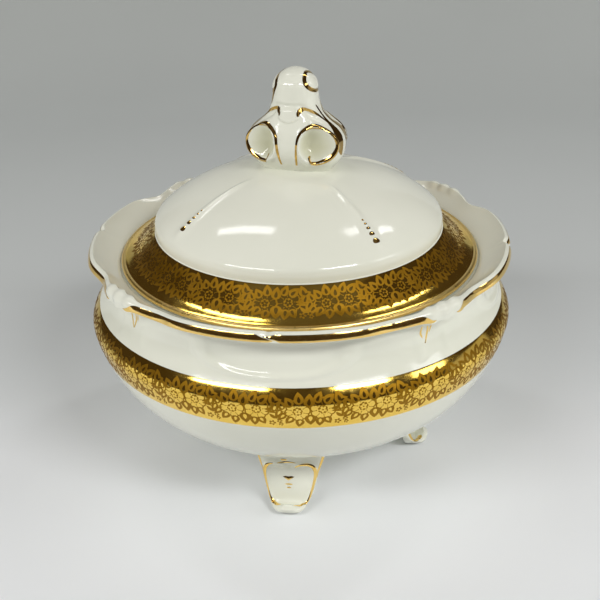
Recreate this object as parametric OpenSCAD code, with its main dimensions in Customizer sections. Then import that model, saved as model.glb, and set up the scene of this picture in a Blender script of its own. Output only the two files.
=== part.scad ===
// Lidded candy dish: round glazed bowl on four scroll feet, domed lid with a scroll knob, gilt bands.

/* [Bowl] */
// Width of the bowl at its widest
bowl_w = 215; // [180:1:240]
// Height of the underside above the table
base_z = 35.5; // [30:0.5:42]
// Height of the widest line above the underside
belly_h = 55; // [46:1:64]
// How far the neck is drawn in from the widest line
neck_in = 10; // [7:0.5:13]
// Height of the neck above the widest line
neck_h = 22.5; // [18:0.5:27]
// Thickness of the bowl wall
wall = 4.5; // [3.5:0.1:6]

/* [Rim] */
// How far the lip stands out past the neck
rim_flare = 9.5; // [8:0.5:12]
// Height of the lip above the neck
rim_h = 15.4; // [13:0.2:18]
// Depth of the dips beside each bead group
scallop = 3.6; // [0:0.1:5]
// Depth of the small notch in the middle of each lobe
notch = 1.3; // [0:0.1:2]
// Radius of the beads on the rim
bead_r = 4; // [3.4:0.1:4.6]

/* [Lid] */
// Gap round the edge of the lid
lid_gap = 3; // [1.5:0.1:4]
// Run of the sloping flange, edge to dome
flange_run = 15.8; // [12:0.2:20]
// Rise of the sloping flange
flange_rise = 15.9; // [12:0.2:20]
// Height of the dome above the flange
dome_h = 31.6; // [24:0.2:40]
// Thickness of the lid
lid_t = 4.2; // [3.2:0.1:5.5]
// Depth of the locating ring under the lid
skirt_d = 8; // [5:0.5:11]
// Height of the ribs on the dome
rib_h = 1.3; // [0.8:0.1:2]
// Turn of the lid on the bowl
lid_turn = -4.5; // [-20:0.5:20]

/* [Knob] */
// Height of the knob above the dome
knob_h = 47.5; // [40:0.5:56]
// Width of the knob at its scrolls
knob_w = 49; // [42:0.5:54]
// Depth of the knob, front to back
knob_d = 36; // [31:0.5:42]
// Depth of the scroll hollows in the knob
knob_hollow = 4; // [2:0.1:5]
// Turn of the knob on the lid
knob_turn = -4; // [-20:0.5:20]

/* [Feet] */
// Distance of the feet from the middle
foot_r = 60; // [53:0.5:66]
// Width of a foot where it meets the bowl
foot_w = 38; // [32:0.5:42]
// Width of a foot at the toe
toe_w = 16.5; // [13:0.5:20]
// Thickness of a foot
foot_t = 6; // [5:0.1:7.5]
// How far the two side feet are turned toward the back, in degrees
side_back = 7; // [0:0.5:10]

/* [Gilding] */
// Thickness of the gilt layers
gilt_t = 0.2; // [0.1:0.05:0.4]
// Steps of the bowl curve covered by the gilt band, above and below the widest line
band_steps = 6; // [4:1:8]

/* [Hidden] */
$fn = 96;
bowl_r = bowl_w / 2;
belly_z = base_z + belly_h;
neck_r = bowl_r - neck_in;
neck_z = belly_z + neck_h;
rim_r = neck_r + rim_flare;
rim_z = neck_z + rim_h;
neck_wall = 6.5;
joint_z = neck_z + 3.9;
seat_z = joint_z - 0.4;
seat_play = 0.15;
shelf_z = seat_z - seat_play;
lid_r = neck_r - neck_wall - lid_gap;
skirt_r = lid_r - 5.5;
skirt_gap = 1.5;
skirt_t = 3;
shelf_r = skirt_r + skirt_gap;
edge_r = 1.25;
edge_z = seat_z + 2 * edge_r;
dome_r = lid_r - flange_run;
foot_of_dome_z = edge_z + flange_rise;
top_z = foot_of_dome_z + dome_h;
under_n = 24;
over_n = 12;

// Point of a cubic curve
function bez(p, t) =
    let (s = 1 - t)
    s * s * s * p[0] + 3 * s * s * t * p[1] + 3 * s * t * t * p[2] + t * t * t * p[3];

// Direction of a cubic curve
function bez_dir(p, t) =
    let (s = 1 - t)
    3 * (s * s * (p[1] - p[0]) + 2 * s * t * (p[2] - p[1]) + t * t * (p[3] - p[2]));

// Point of a cubic curve moved sideways by a distance, to the right of its direction
function bez_off(p, t, d) =
    let (v = bez_dir(p, t))
    bez(p, t) + d * [v[1], -v[0]] / norm(v);

// Run of points along a cubic curve, moved sideways
function run(p, n, d = 0, a = 0, b = 1) = [for (i = [round(a * n):round(b * n)]) bez_off(p, i / n, d)];

function flip(v) = [for (i = [len(v) - 1:-1:0]) v[i]];

function bump(x, c, w) = exp(-((x - c) / w) * ((x - c) / w));

// Point at an angle from the front, a radius and a height
function polar(a, r, z) = [r * sin(a), -r * cos(a), z];

// Smooth curve through a row of points, a share f of the way from point i to the next
function cat(p, i, f) =
    let (
        n = len(p) - 1,
        a = p[max(i - 1, 0)],
        b = p[i],
        c = p[min(i + 1, n)],
        d = p[min(i + 2, n)]
    )
    0.5 * ((2 * b) + (c - a) * f + (2 * a - 5 * b + 4 * c - d) * f * f + (3 * b - a - 3 * c + d) * f * f * f);

// Outer curves of the bowl, in radius and height
under = [[0.42 * bowl_r, base_z], [0.888 * bowl_r, base_z], [bowl_r, belly_z - 0.085 * belly_h], [bowl_r, belly_z]];
over = [[bowl_r, belly_z], [bowl_r, belly_z + 0.31 * neck_h],
        [neck_r + 0.5, neck_z - 0.49 * neck_h], [neck_r, neck_z]];

// Solid of revolution with the outer form of the bowl, closed to the axis
module bowl_form() {
    rotate_extrude()
        polygon(concat([[0, base_z]], run(under, under_n), run(over, over_n, 0, 1 / over_n), [[0, neck_z]]));
}

// Angle from the nearest notch, 0 to 45
function from_notch(a) =
    let (m = a - 90 * floor(a / 90))
    min(m, 90 - m);

// How far the lip moves out or in at an angle
function lip_shift(a) =
    let (t = from_notch(a))
    -scallop * bump(t, 31, 6) - notch * bump(t, 0, 1.6) - 0.8 * bump(t, 45, 6);

// Closed section of the rim at an angle, from the tongue in the wall round the lip and back
function rim_section(a) =
    let (
        d = lip_shift(a),
        lip = [rim_r + d, rim_z - 1.8 + 0.5 * d],
        out = [[neck_r + 0.4, joint_z], [neck_r + 0.9, joint_z + 3.6],
               lip + [-0.52 * rim_flare, -5.2], lip + [-0.6, -1.6]],
        in = [lip + [-2.6, 1.2], lip + [-0.95 * rim_flare, -4.2],
              [neck_r - neck_wall + 1.4, joint_z + 2.6], [neck_r - neck_wall + 0.4, joint_z]]
    )
    concat(
        [[neck_r - neck_wall + 0.4, joint_z - 2.6]],
        flip([for (i = [0:6]) bez(in, i / 6)]),
        [lip + [-1.4, 1.75], lip + [-0.3, 1.4], lip + [0.15, 0.1]],
        flip([for (i = [0:5]) bez(out, i / 5)]),
        [[neck_r + 0.4, joint_z - 2.6]]
    );

// Skin over a row of point loops; a closed row joins its last loop to its first
module loft(rows, closed = false) {
    n = len(rows);
    m = len(rows[0]);
    last = closed ? n - 1 : n - 2;
    sides = [for (i = [0:last], j = [0:m - 1])
        let (a = i * m + j, b = i * m + (j + 1) % m, k = ((i + 1) % n) * m)
        each [[a, k + j, k + (j + 1) % m], [a, k + (j + 1) % m, b]]];
    ends = closed ? [] : [[for (j = [0:m - 1]) j], [for (j = [m - 1:-1:0]) (n - 1) * m + j]];
    polyhedron(points = [for (r = rows) each r], faces = concat(sides, ends));
}

// Angles of the rim sections, closer together at the notches
rim_steps = 20;
rim_half = [for (i = [0:rim_steps]) 45 * pow(i / rim_steps, 1.25)];
rim_angles = [for (k = [0:3]) each concat(
    [for (i = [0:rim_steps - 1]) 90 * k + rim_half[i]],
    [for (i = [0:rim_steps - 1]) 90 * k + 90 - rim_half[rim_steps - i]])];

module rim() {
    loft([for (a = rim_angles) [for (p = rim_section(a)) polar(a, p[0], p[1])]], true);
}

// Three beads at each of the four joins of the lobes
module beads() {
    for (k = [0:3], j = [-1:1])
        translate(polar(45 + 90 * k + 4.1 * j, rim_r - 2.6 - 0.3 * abs(j), rim_z - 2 - 0.3 * abs(j)))
            sphere(r = bead_r - 0.4 * abs(j), $fn = 32);
}

module bowl() {
    color([0.92, 0.91, 0.84])
    union() {
        rotate_extrude()
            polygon(concat(
                [[0, base_z]],
                run(under, under_n),
                run(over, over_n, 0, 1 / over_n),
                [[neck_r + 0.5, joint_z], [neck_r - neck_wall + 0.3, joint_z],
                 [neck_r - neck_wall, shelf_z], [shelf_r, shelf_z], [shelf_r, shelf_z - 3.2],
                 [shelf_r + 2.6, shelf_z - 6.2]],
                flip(run(over, over_n, -wall, 0, 0.7)),
                flip(run(under, under_n, -wall, 0, 0.97)),
                [[0, base_z + wall]]));
        rim();
        beads();
    }
}

// Thin gilt layer round the widest part of the bowl
module bowl_gilt_band() {
    a = (under_n - band_steps) / under_n;
    b = band_steps / over_n;
    color([0.75, 0.55, 0.2])
    rotate_extrude()
        polygon(concat(
            run(under, under_n, 0, a, 1),
            run(over, over_n, 0, 1 / over_n, b),
            flip(run(over, over_n, gilt_t, 1 / over_n, b)),
            flip(run(under, under_n, gilt_t, a, 1))));
}

// Middle line of a foot, in radius and height, from inside the bowl to the upturned toe
foot_path = [for (p = [[-0.34, 1.225], [-0.27, 0.945], [-0.2, 0.66], [-0.147, 0.44], [-0.09, 0.225], [0, 0.064],
                       [0.118, 0.112], [0.215, 0.17], [0.255, 0.26]])
    [foot_r + p[0] * base_z, p[1] * base_z]];
// Width share and thickness share of a foot along its middle line
foot_size = [[1.06, 1.15], [1, 1.1], [0.67, 1], [0.515, 0.95], [0.345, 0.93], [0.08, 0.92],
             [-0.07, 0.78], [-0.18, 0.64], [-0.42, 0.45]];
foot_n = 3;

function foot_section(i, f) =
    let (
        c = cat(foot_path, i, f),
        v = cat(foot_path, i, f + 0.02) - cat(foot_path, i, f - 0.02),
        s = cat(foot_size, i, f),
        w = toe_w + s[0] * (foot_w - toe_w),
        t = foot_t * s[1],
        q = [-v[1], v[0]] / norm(v),
        rise = 0.9 * min(1, s[1]),
        face = [[-1, 0], [-0.93, 0.36 * t + 0.5 * rise], [-0.8, 0.5 * t + rise], [-0.64, 0.5 * t],
                [-0.3, 0.5 * t - 0.9 * rise], [0, 0.5 * t - 1.1 * rise], [0.3, 0.5 * t - 0.9 * rise],
                [0.64, 0.5 * t], [0.8, 0.5 * t + rise], [0.93, 0.36 * t + 0.5 * rise], [1, 0],
                [0.88, -0.22 * t], [0.6, -0.4 * t], [0.3, -0.48 * t], [0, -0.5 * t],
                [-0.3, -0.48 * t], [-0.6, -0.4 * t], [-0.88, -0.22 * t]]
    )
    [for (p = flip(face)) [p[0] * w / 2, -(c[0] + p[1] * q[0]), c[1] + p[1] * q[1]]];

// One foot, turned to its place, cut to the bowl and flat on the table
module foot(turn) {
    color([0.92, 0.91, 0.84])
    difference() {
        rotate([0, 0, turn])
            loft([for (i = [0:len(foot_path) - 2], k = [0:foot_n - 1 + (i == len(foot_path) - 2 ? 1 : 0)])
                foot_section(i, k / foot_n)]);
        bowl_form();
        translate([-bowl_r, -bowl_r, -base_z])
            cube([bowl_w, bowl_w, base_z]);
    }
}

module foot_front() { foot(0); }
module foot_right() { foot(90 + side_back); }
module foot_back() { foot(180); }
module foot_left() { foot(270 - side_back); }

// Curves of the dome, from the top out to the turn and down to the flange
dome = [[0, top_z], [0.44 * dome_r, top_z],
        [0.83 * dome_r, foot_of_dome_z + 0.54 * dome_h], [0.976 * dome_r, foot_of_dome_z + 0.225 * dome_h]];
turn_down = [[0.976 * dome_r, foot_of_dome_z + 0.225 * dome_h],
             [1.001 * dome_r, foot_of_dome_z + 0.17 * dome_h],
             [1.005 * dome_r, foot_of_dome_z + 0.11 * dome_h], [dome_r, foot_of_dome_z]];
dome_n = 18;
turn_n = 6;
edge_mid = [lid_r - edge_r, seat_z + edge_r];

// Outer line of the flange, from the dome to the rounded edge, and the places where the gilding starts and ends
flange_a = [dome_r, foot_of_dome_z];
flange_b = edge_mid + edge_r * [cos(45), sin(45)];
flange_q = let (v = flange_b - flange_a) [-v[1], v[0]] / norm(v);
flange_cuts = [for (f = [0.03, 0.9, 0.92]) flange_a + f * (flange_b - flange_a)];

// Rounded outer edge of the lid, by angle
function edge_arc(d, a, b, n) = [for (i = [0:n])
    edge_mid + (edge_r + d) * [cos(a + (b - a) * i / n), sin(a + (b - a) * i / n)]];

// Solid of revolution with the outer form of the dome, closed to the axis
module dome_form() {
    rotate_extrude()
        polygon(concat(run(dome, dome_n), run(turn_down, turn_n, 0, 1 / turn_n), [[0, foot_of_dome_z]]));
}

// Soft rib down the dome, wider toward the edge
module rib(turn) {
    rows = [for (i = [0:11])
        let (
            f = i / 11,
            t = 0.40 + 0.56 * f,
            p = bez(dome, t),
            v = bez_dir(dome, t),
            q = [-v[1], v[0]] / norm(v),
            w = 1.6 + 3 * sin(150 * f),
            h = rib_h * (0.1 + 0.9 * sin(172 * f + 4)),
            s = [[-1, -1.2], [-1, -0.12], [-0.6, 0.3 * h], [-0.25, 0.85 * h], [0, h], [0.25, 0.85 * h],
                 [0.6, 0.3 * h], [1, -0.12], [1, -1.2]]
        )
        [for (k = flip(s)) [k[0] * w, -(p[0] + k[1] * q[0]), p[1] + k[1] * q[1]]]];
    rotate([0, 0, turn])
        loft(rows);
}

module lid() {
    color([0.93, 0.92, 0.85])
    rotate([0, 0, lid_turn])
    union() {
        rotate_extrude()
            polygon(concat(
                run(dome, dome_n),
                run(turn_down, turn_n, 0, 1 / turn_n),
                flange_cuts,
                flip(edge_arc(0, -90, 45, 6)),
                [[skirt_r, seat_z], [skirt_r, seat_z - skirt_d], [skirt_r - skirt_t, seat_z - skirt_d],
                 [skirt_r - skirt_t, seat_z + 3]],
                flip(run(turn_down, turn_n, lid_t, 0, 1)),
                flip(run(dome, dome_n, lid_t, 0, 0.97))));
        for (k = [0:3])
            rib(45 + 90 * k);
    }
}

// Thin gilt layer on the sloping flange
module lid_gilt_band() {
    a = flange_cuts[0];
    b = flange_cuts[1];
    color([0.75, 0.55, 0.2])
    rotate([0, 0, lid_turn])
    rotate_extrude()
        polygon([a, b, b + gilt_t * flange_q, a + gilt_t * flange_q]);
}

// Thin gilt layer round the edge of the lid
module lid_gilt_edge() {
    a = flange_cuts[2];
    color([0.8, 0.62, 0.28])
    rotate([0, 0, lid_turn])
    rotate_extrude()
        polygon(concat(
            edge_arc(0, 0, 45, 2),
            [a, a + gilt_t * flange_q],
            flip(edge_arc(gilt_t, 0, 45, 2))));
}

// Half width and half depth of the knob, as shares, by height share
knob_shape = [[-0.08, 0.66, 0.56], [0, 0.78, 0.64], [0.09, 0.93, 0.82], [0.19, 0.985, 0.95], [0.3, 0.97, 0.98],
              [0.39, 0.87, 0.92], [0.47, 0.68, 0.83], [0.55, 0.54, 0.74], [0.65, 0.465, 0.66],
              [0.76, 0.435, 0.63], [0.87, 0.385, 0.565], [0.945, 0.28, 0.41], [0.985, 0.15, 0.22], [1, 0.03, 0.04]];
knob_turns = 64;
knob_n = 3;

// How far the scrolls, hollows and creases move the face of the knob, by angle and height share
function knob_face(a, h) =
    let (
        m = a - 180 * floor(a / 180),
        t = min(m, 180 - m),
        q = norm([(t - 44) / 27, (h - 0.285) / 0.2]),
        hollow = q < 1 ? knob_hollow * (1 - q * q) * (1 - 0.3 * q * q) : 0,
        ridge = 1.1 * bump(q, 1.06, 0.13),
        pocket = 1.5 * bump(t, 46, 17) * bump(h, 0.575 - 0.0035 * (t - 46), 0.045),
        crease = 0.7 * bump(h, 0.665, 0.022) * bump(t, 0, 34),
        eye = 1.0 * bump(norm([(t - 80) / 20, (h - 0.88) / 0.08]), 0, 0.8)
    )
    ridge - hollow - pocket - crease - eye;

function knob_row(i, f) =
    let (s = cat(knob_shape, i, f))
    [for (j = [0:knob_turns - 1])
        let (
            a = 360 * j / knob_turns,
            x = abs(sin(a)) / (s[1] * knob_w / 2),
            y = abs(cos(a)) / (s[2] * knob_d / 2),
            r = pow(pow(x, 2.3) + pow(y, 2.3), -1 / 2.3)
        )
        polar(a, max(r * 0.5, r + knob_face(a, s[0])), top_z + s[0] * knob_h)];

module knob() {
    color([0.93, 0.92, 0.85])
    rotate([0, 0, lid_turn])
    difference() {
        rotate([0, 0, knob_turn])
            loft([for (i = [0:len(knob_shape) - 2], k = [0:knob_n - 1 + (i == len(knob_shape) - 2 ? 1 : 0)])
                knob_row(i, k / knob_n)]);
        dome_form();
    }
}

bowl();
bowl_gilt_band();
foot_front();
foot_right();
foot_back();
foot_left();
lid();
lid_gilt_band();
lid_gilt_edge();
knob();
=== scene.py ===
import bpy
import math
import numpy as np
from mathutils import Matrix


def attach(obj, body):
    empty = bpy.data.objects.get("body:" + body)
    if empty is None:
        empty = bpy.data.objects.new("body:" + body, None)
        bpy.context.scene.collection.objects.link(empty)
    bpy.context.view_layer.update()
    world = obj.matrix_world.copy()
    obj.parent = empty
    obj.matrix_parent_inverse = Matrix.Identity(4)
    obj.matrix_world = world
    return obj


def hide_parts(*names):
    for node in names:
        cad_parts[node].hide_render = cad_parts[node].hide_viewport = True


# Looks of a lidded candy dish: ivory glaze with gilt bands and lines, on the bodies "dish" and "lid".
# Lengths are in millimetres, and angles in degrees from the front; the studio alone is in metres.
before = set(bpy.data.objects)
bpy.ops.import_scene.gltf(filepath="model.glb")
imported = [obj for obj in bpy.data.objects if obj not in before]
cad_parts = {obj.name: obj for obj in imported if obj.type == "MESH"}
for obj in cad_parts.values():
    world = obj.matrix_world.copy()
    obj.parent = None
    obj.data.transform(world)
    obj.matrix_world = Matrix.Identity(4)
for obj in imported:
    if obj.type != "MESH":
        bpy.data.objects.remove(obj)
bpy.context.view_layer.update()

# Sizes of the CAD source, but with the lid's edge 2.3 mm wider, and the edge and its seat about 3 mm higher
BOWL_R, BASE_Z, BELLY_Z, BELLY_H = 107.5, 35.5, 90.5, 55.0
NECK_R, NECK_Z, NECK_H = 97.5, 113.0, 22.5
RIM_R, RIM_Z, FLARE = 107.0, 128.4, 9.5
SCALLOP, NOTCH = 3.6, 1.3
JOINT_Z, SEAT_Z, SHELF_Z, SHELF_R = 116.9, 119.2, 119.0, 84.0
NECK_WALL, WALL = 6.5, 4.5
LID_R, LID_T, EDGE_R = 90.3, 4.2, 1.4
SKIRT_R, SKIRT_D, SKIRT_T = 82.5, 10.7, 3.0
DOME_R, DOME_FOOT, DOME_H = 72.2, 134.9, 31.6
TOP_Z = DOME_FOOT + DOME_H
LID_TURN, KNOB_TURN = -4.5, -4.0
KNOB_H, KNOB_W, KNOB_D, HOLLOW = 47.5, 49.0, 36.0, 4.0
FOOT_R, FOOT_W, TOE_W, FOOT_T = 60.0, 38.0, 16.5, 6.0

MM = 0.001
TINY = 1e-12   # keeps a division by a length of 0 from failing
AXIS_R = 0.01  # stands for the axis, so that no face has two corners in one place
QUARTER = 90   # the rim, the ribs and the leaves repeat four times


# Curves
def bez(p, t):
    """Points of a cubic curve."""
    t = np.asarray(t, float)[..., None]
    s = 1 - t
    return s**3 * p[0] + 3 * s * s * t * p[1] + 3 * s * t * t * p[2] + t**3 * p[3]


def curve(p, n):
    """Points of a cubic curve, n from end to end."""
    return bez(p, np.linspace(0, 1, n))


def bez_off(p, t, d):
    """Points that lie a distance d to the right of a cubic curve."""
    s = 1 - np.asarray(t, float)[..., None]
    v = s * s * (p[1] - p[0]) + 2 * s * (1 - s) * (p[2] - p[1]) + (1 - s) ** 2 * (p[3] - p[2])
    right = np.stack([v[..., 1], -v[..., 0]], -1) / np.linalg.norm(v, axis=-1, keepdims=True)
    return bez(p, t) + d * right


def cat(p, n):
    """Smooth curve through points, with n steps from each to the next."""
    p = np.asarray(p, float)
    e = np.vstack([p[:1], p, p[-1:]])
    out = []
    for a, b, c, d in zip(e, e[1:], e[2:], e[3:]):
        for f in np.arange(n) / n:
            out.append(0.5 * (2 * b + (c - a) * f + (2 * a - 5 * b + 4 * c - d) * f**2
                              + (3 * b - a - 3 * c + d) * f**3))
    return np.array(out + [p[-1]])


def run_length(p):
    """Length along a row of points, from 0."""
    return np.concatenate([[0], np.cumsum(np.linalg.norm(np.diff(p, axis=0), axis=1))])


def spread(values, n):
    """A few values, spread evenly over n points."""
    return np.interp(np.linspace(0, 1, n), np.linspace(0, 1, len(values)), values)


def bump(x, c, w):
    """Soft bump of height 1 at c."""
    return np.exp(-((x - c) / w) ** 2)


def smooth(x, a, b):
    """0 at a and 1 at b, with a soft step between them."""
    t = np.clip((x - a) / (b - a), 0, 1)
    return t * t * (3 - 2 * t)


def around(n, full=360.0):
    """Even angles round a circle."""
    return np.linspace(0, full, n, endpoint=False)


def circle(t):
    """Points of a unit circle at angles in radians."""
    return np.stack([np.cos(t), np.sin(t)], 1)


def oval(w, h, n=20):
    return 0.5 * np.array([w, h]) * circle(around(n, 2 * math.pi))


def turn(p, deg):
    """Flat points turned about 0."""
    c, s = math.cos(math.radians(deg)), math.sin(math.radians(deg))
    return np.stack([p[:, 0] * c - p[:, 1] * s, p[:, 0] * s + p[:, 1] * c], 1)


def polar(a, r, z):
    """Points by angle from the front, radius and height."""
    a = np.radians(a)
    return np.stack([r * np.sin(a), -r * np.cos(a), z + 0 * a], -1)


def points(*rows):
    return [np.array(r, float) for r in rows]


# Sections of the bowl and the dome, as radius and height
UNDER = points((0.42 * BOWL_R, BASE_Z), (0.888 * BOWL_R, BASE_Z),
               (BOWL_R, BELLY_Z - 0.085 * BELLY_H), (BOWL_R, BELLY_Z))
OVER = points((BOWL_R, BELLY_Z), (BOWL_R, BELLY_Z + 0.31 * NECK_H),
              (NECK_R + 0.5, NECK_Z - 0.49 * NECK_H), (NECK_R, NECK_Z))
JOINT = (NECK_R + 0.4, JOINT_Z)
DOME_END = (0.976 * DOME_R, DOME_FOOT + 0.225 * DOME_H)
DOME = points((0, TOP_Z), (0.44 * DOME_R, TOP_Z), (0.83 * DOME_R, DOME_FOOT + 0.54 * DOME_H), DOME_END)
TURN = points(DOME_END, (1.001 * DOME_R, DOME_FOOT + 0.17 * DOME_H),
              (1.005 * DOME_R, DOME_FOOT + 0.11 * DOME_H), (DOME_R, DOME_FOOT))


# Mesh helpers
def make(name, verts, faces, mat, body, slot, sharp=35, replaces=()):
    """One piece of the scene, from vertices in millimetres; edges steeper than sharp are kept."""
    me = bpy.data.meshes.new(name)
    me.from_pydata((np.asarray(verts) * MM).tolist(), [], [tuple(int(i) for i in f) for f in faces])
    me.update()
    me.polygons.foreach_set("use_smooth", [True] * len(me.polygons))
    me.set_sharp_from_angle(angle=math.radians(sharp))
    me.materials.append(mat)
    ob = bpy.data.objects.new(name, me)
    bpy.context.scene.collection.objects.link(ob)
    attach(ob, body)
    if replaces:
        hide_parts(*replaces)
    return ob


def grid(p, close_u=False, close_v=False):
    """Points (n, m, 3) to vertices and quads; u runs along the first axis, v along the second."""
    n, m = p.shape[:2]
    i, j = np.meshgrid(np.arange(n if close_u else n - 1), np.arange(m if close_v else m - 1), indexing="ij")
    i2, j2 = (i + 1) % n, (j + 1) % m
    f = np.stack([i * m + j, i * m + j2, i2 * m + j2, i2 * m + j], -1).reshape(-1, 4)
    return p.reshape(-1, 3), f


def join(parts):
    """Several meshes as one."""
    verts, faces, k = [], [], 0
    for v, f in parts:
        verts.append(np.asarray(v))
        faces += [tuple(int(x) + k for x in q) for q in f]
        k += len(v)
    return np.vstack(verts), faces


def derive(surf, u, v, e=1e-3):
    """Derivatives of a surface along u and v, and its unit normal."""
    pu = (surf(u + e, v) - surf(u - e, v)) / (2 * e)
    pv = (surf(u, v + e) - surf(u, v - e)) / (2 * e)
    n = np.cross(pu, pv)
    return pu, pv, n / (np.linalg.norm(n, axis=-1, keepdims=True) + TINY)


def raised(surf, u, v, height):
    """Points of a surface, moved out along its normal."""
    return surf(u, v) + derive(surf, u, v)[2] * height


def sides(path, width):
    """Left and right side of a flat strip along a path."""
    path = np.asarray(path, float)
    d = np.gradient(path, axis=0)
    n = np.stack([-d[:, 1], d[:, 0]], 1) / (np.linalg.norm(d, axis=1, keepdims=True) + TINY)
    w = np.broadcast_to(np.asarray(width, float), (len(path),))[:, None]
    return path + n * w / 2, path - n * w / 2


def ribbon(surf, uv, width, lift, crown, rows):
    """Strip along a path of (u, v) on a surface, with its width in millimetres at each point."""
    u, v = uv[:, 0], uv[:, 1]
    pu, pv, n = derive(surf, u, v)
    d = np.gradient(uv, axis=0)
    t = pu * d[:, :1] + pv * d[:, 1:]
    t /= np.linalg.norm(t, axis=1, keepdims=True) + TINY
    side = np.cross(n, t)
    # Step of u and v that goes one millimetre to the side
    uu, uv_, vv = (pu * pu).sum(1), (pu * pv).sum(1), (pv * pv).sum(1)
    su, sv = (pu * side).sum(1), (pv * side).sum(1)
    det = uu * vv - uv_ * uv_
    du, dv = (su * vv - sv * uv_) / det, (uu * sv - uv_ * su) / det
    return grid(np.stack([raised(surf, u + du * k * width, v + dv * k * width, lift + crown * (1 - 4 * k * k))
                          for k in np.linspace(-0.5, 0.5, rows)], 1))


def patch(surf, centre, shape, lift, crown, rings=3):
    """Small closed shape, given in millimetres round a centre, laid on a surface."""
    u0, v0 = centre
    pu, pv, _ = derive(surf, np.array([u0]), np.array([v0]))
    scale = np.array([np.linalg.norm(pu), np.linalg.norm(pv)])
    verts, faces, m = [], [], len(shape)
    for k in range(rings, -1, -1):
        f = k / rings
        q = (shape * f if k else shape[:1] * 0) / scale
        verts.append(raised(surf, u0 + q[:, 0], v0 + q[:, 1], lift + crown * (1 - f * f)))
    for r in range(rings - 1):
        for j in range(m):
            faces.append((r * m + j, r * m + (j + 1) % m, (r + 1) * m + (j + 1) % m, (r + 1) * m + j))
    last = (rings - 1) * m
    faces += [(last + j, last + (j + 1) % m, rings * m) for j in range(m)]
    return np.vstack(verts), faces


# Materials
def new_mat(name):
    m = bpy.data.materials.new(name)
    m.use_nodes = True
    nt = m.node_tree
    return m, nt, nt.nodes["Principled BSDF"]


def grey(x):
    return (x, x, x)


def ramp(nt, fac, stops):
    """Colour ramp from (place, colour) stops."""
    r = nt.nodes.new("ShaderNodeValToRGB")
    el = r.color_ramp.elements
    while len(el) < len(stops):
        el.new(0.5)
    for e, (place, colour) in zip(el, stops):
        e.position, e.color = place, (*colour, 1)
    nt.links.new(fac, r.inputs[0])
    return r.outputs[0]


def noise(nt, scale, detail, rough=0.5):
    n = nt.nodes.new("ShaderNodeTexNoise")
    n.inputs["Scale"].default_value = scale
    n.inputs["Detail"].default_value = detail
    n.inputs["Roughness"].default_value = rough
    c = nt.nodes.new("ShaderNodeTexCoord")
    nt.links.new(c.outputs["Object"], n.inputs["Vector"])
    return n.outputs["Fac"]


def multiply(nt, a, b):
    """Node that multiplies colour a with b, in full unless its factor is linked."""
    x = nt.nodes.new("ShaderNodeMix")
    x.data_type, x.blend_type = "RGBA", "MULTIPLY"
    x.inputs["Factor"].default_value = 1.0
    nt.links.new(a, x.inputs["A"])
    if isinstance(b, tuple):
        x.inputs["B"].default_value = b
    else:
        nt.links.new(b, x.inputs["B"])
    return x


def add_bump(nt, bsdf, height, strength, distance):
    b = nt.nodes.new("ShaderNodeBump")
    b.inputs["Strength"].default_value = strength
    b.inputs["Distance"].default_value = distance
    nt.links.new(height, b.inputs["Height"])
    nt.links.new(b.outputs[0], bsdf.inputs["Normal"])


# Tint of the painted shade in the knob's hollows
HOLLOW_SHADE_TINT = (0.78, 0.77, 0.64, 1)
GLAZE_IOR = 1.52


def glaze_mat():
    m, nt, b = new_mat("ivory_glaze")
    ivory = ramp(nt, noise(nt, 14, 4), [(0.3, (0.715, 0.725, 0.62)), (0.52, (0.745, 0.752, 0.65)),
                                        (0.7, (0.77, 0.775, 0.675))])
    # Painted shade: the glaze is darkened and yellowed in the knob's hollows, as much as a float attribute of the
    # mesh gives
    hollow_shade = nt.nodes.new("ShaderNodeAttribute")
    hollow_shade.attribute_name = "hollow_shade"
    shaded_ivory = multiply(nt, ivory, HOLLOW_SHADE_TINT)
    nt.links.new(hollow_shade.outputs["Fac"], shaded_ivory.inputs["Factor"])
    nt.links.new(shaded_ivory.outputs["Result"], b.inputs["Base Color"])
    rough = ramp(nt, noise(nt, 60, 3), [(0.35, grey(0.07)), (0.65, grey(0.13))])
    nt.links.new(rough, b.inputs["Roughness"])
    b.inputs["IOR"].default_value = GLAZE_IOR
    add_bump(nt, b, noise(nt, 45, 2), 0.06, 0.0006)
    return m


def gold_mat(name, tones, rough, grain, strength):
    """Gold from three tones, a range of roughness and a fine grain."""
    m, nt, b = new_mat(name)
    b.inputs["Metallic"].default_value = 1.0
    tone = ramp(nt, noise(nt, 130, 4, 0.6), list(zip((0.3, 0.5, 0.72), tones)))
    nt.links.new(tone, b.inputs["Base Color"])
    dull = ramp(nt, noise(nt, 260, 4, 0.65), [(0.3, grey(rough[0])), (0.7, grey(rough[1]))])
    nt.links.new(dull, b.inputs["Roughness"])
    add_bump(nt, b, noise(nt, grain, 2), strength, 0.0002)
    return m


GLAZE = glaze_mat()
BRIGHT = gold_mat("gold_polished", ((0.93, 0.61, 0.1), (0.97, 0.66, 0.125), (1.0, 0.7, 0.16)),
                  (0.08, 0.15), 420, 0.05)
ETCHED = gold_mat("gold_etched", ((0.33, 0.165, 0.01), (0.38, 0.2, 0.014), (0.43, 0.23, 0.02)),
                  (0.48, 0.58), 2400, 0.35)
SATIN = gold_mat("gold_satin", ((0.93, 0.64, 0.2), (0.97, 0.7, 0.25), (1.0, 0.75, 0.3)),
                 (0.26, 0.34), 700, 0.06)
# Darker copy of the line gold for the knob's strokes: painted shade for the dark room that they mirror
KNOB_SHADED_GOLD = gold_mat("gold_line_shaded", ((0.56, 0.36, 0.1), (0.61, 0.4, 0.12), (0.66, 0.45, 0.15)),
                (0.07, 0.13), 700, 0.06)
LINE = gold_mat("gold_line", ((0.9, 0.6, 0.17), (0.95, 0.66, 0.21), (0.98, 0.71, 0.26)),
                (0.08, 0.16), 700, 0.06)


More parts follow.
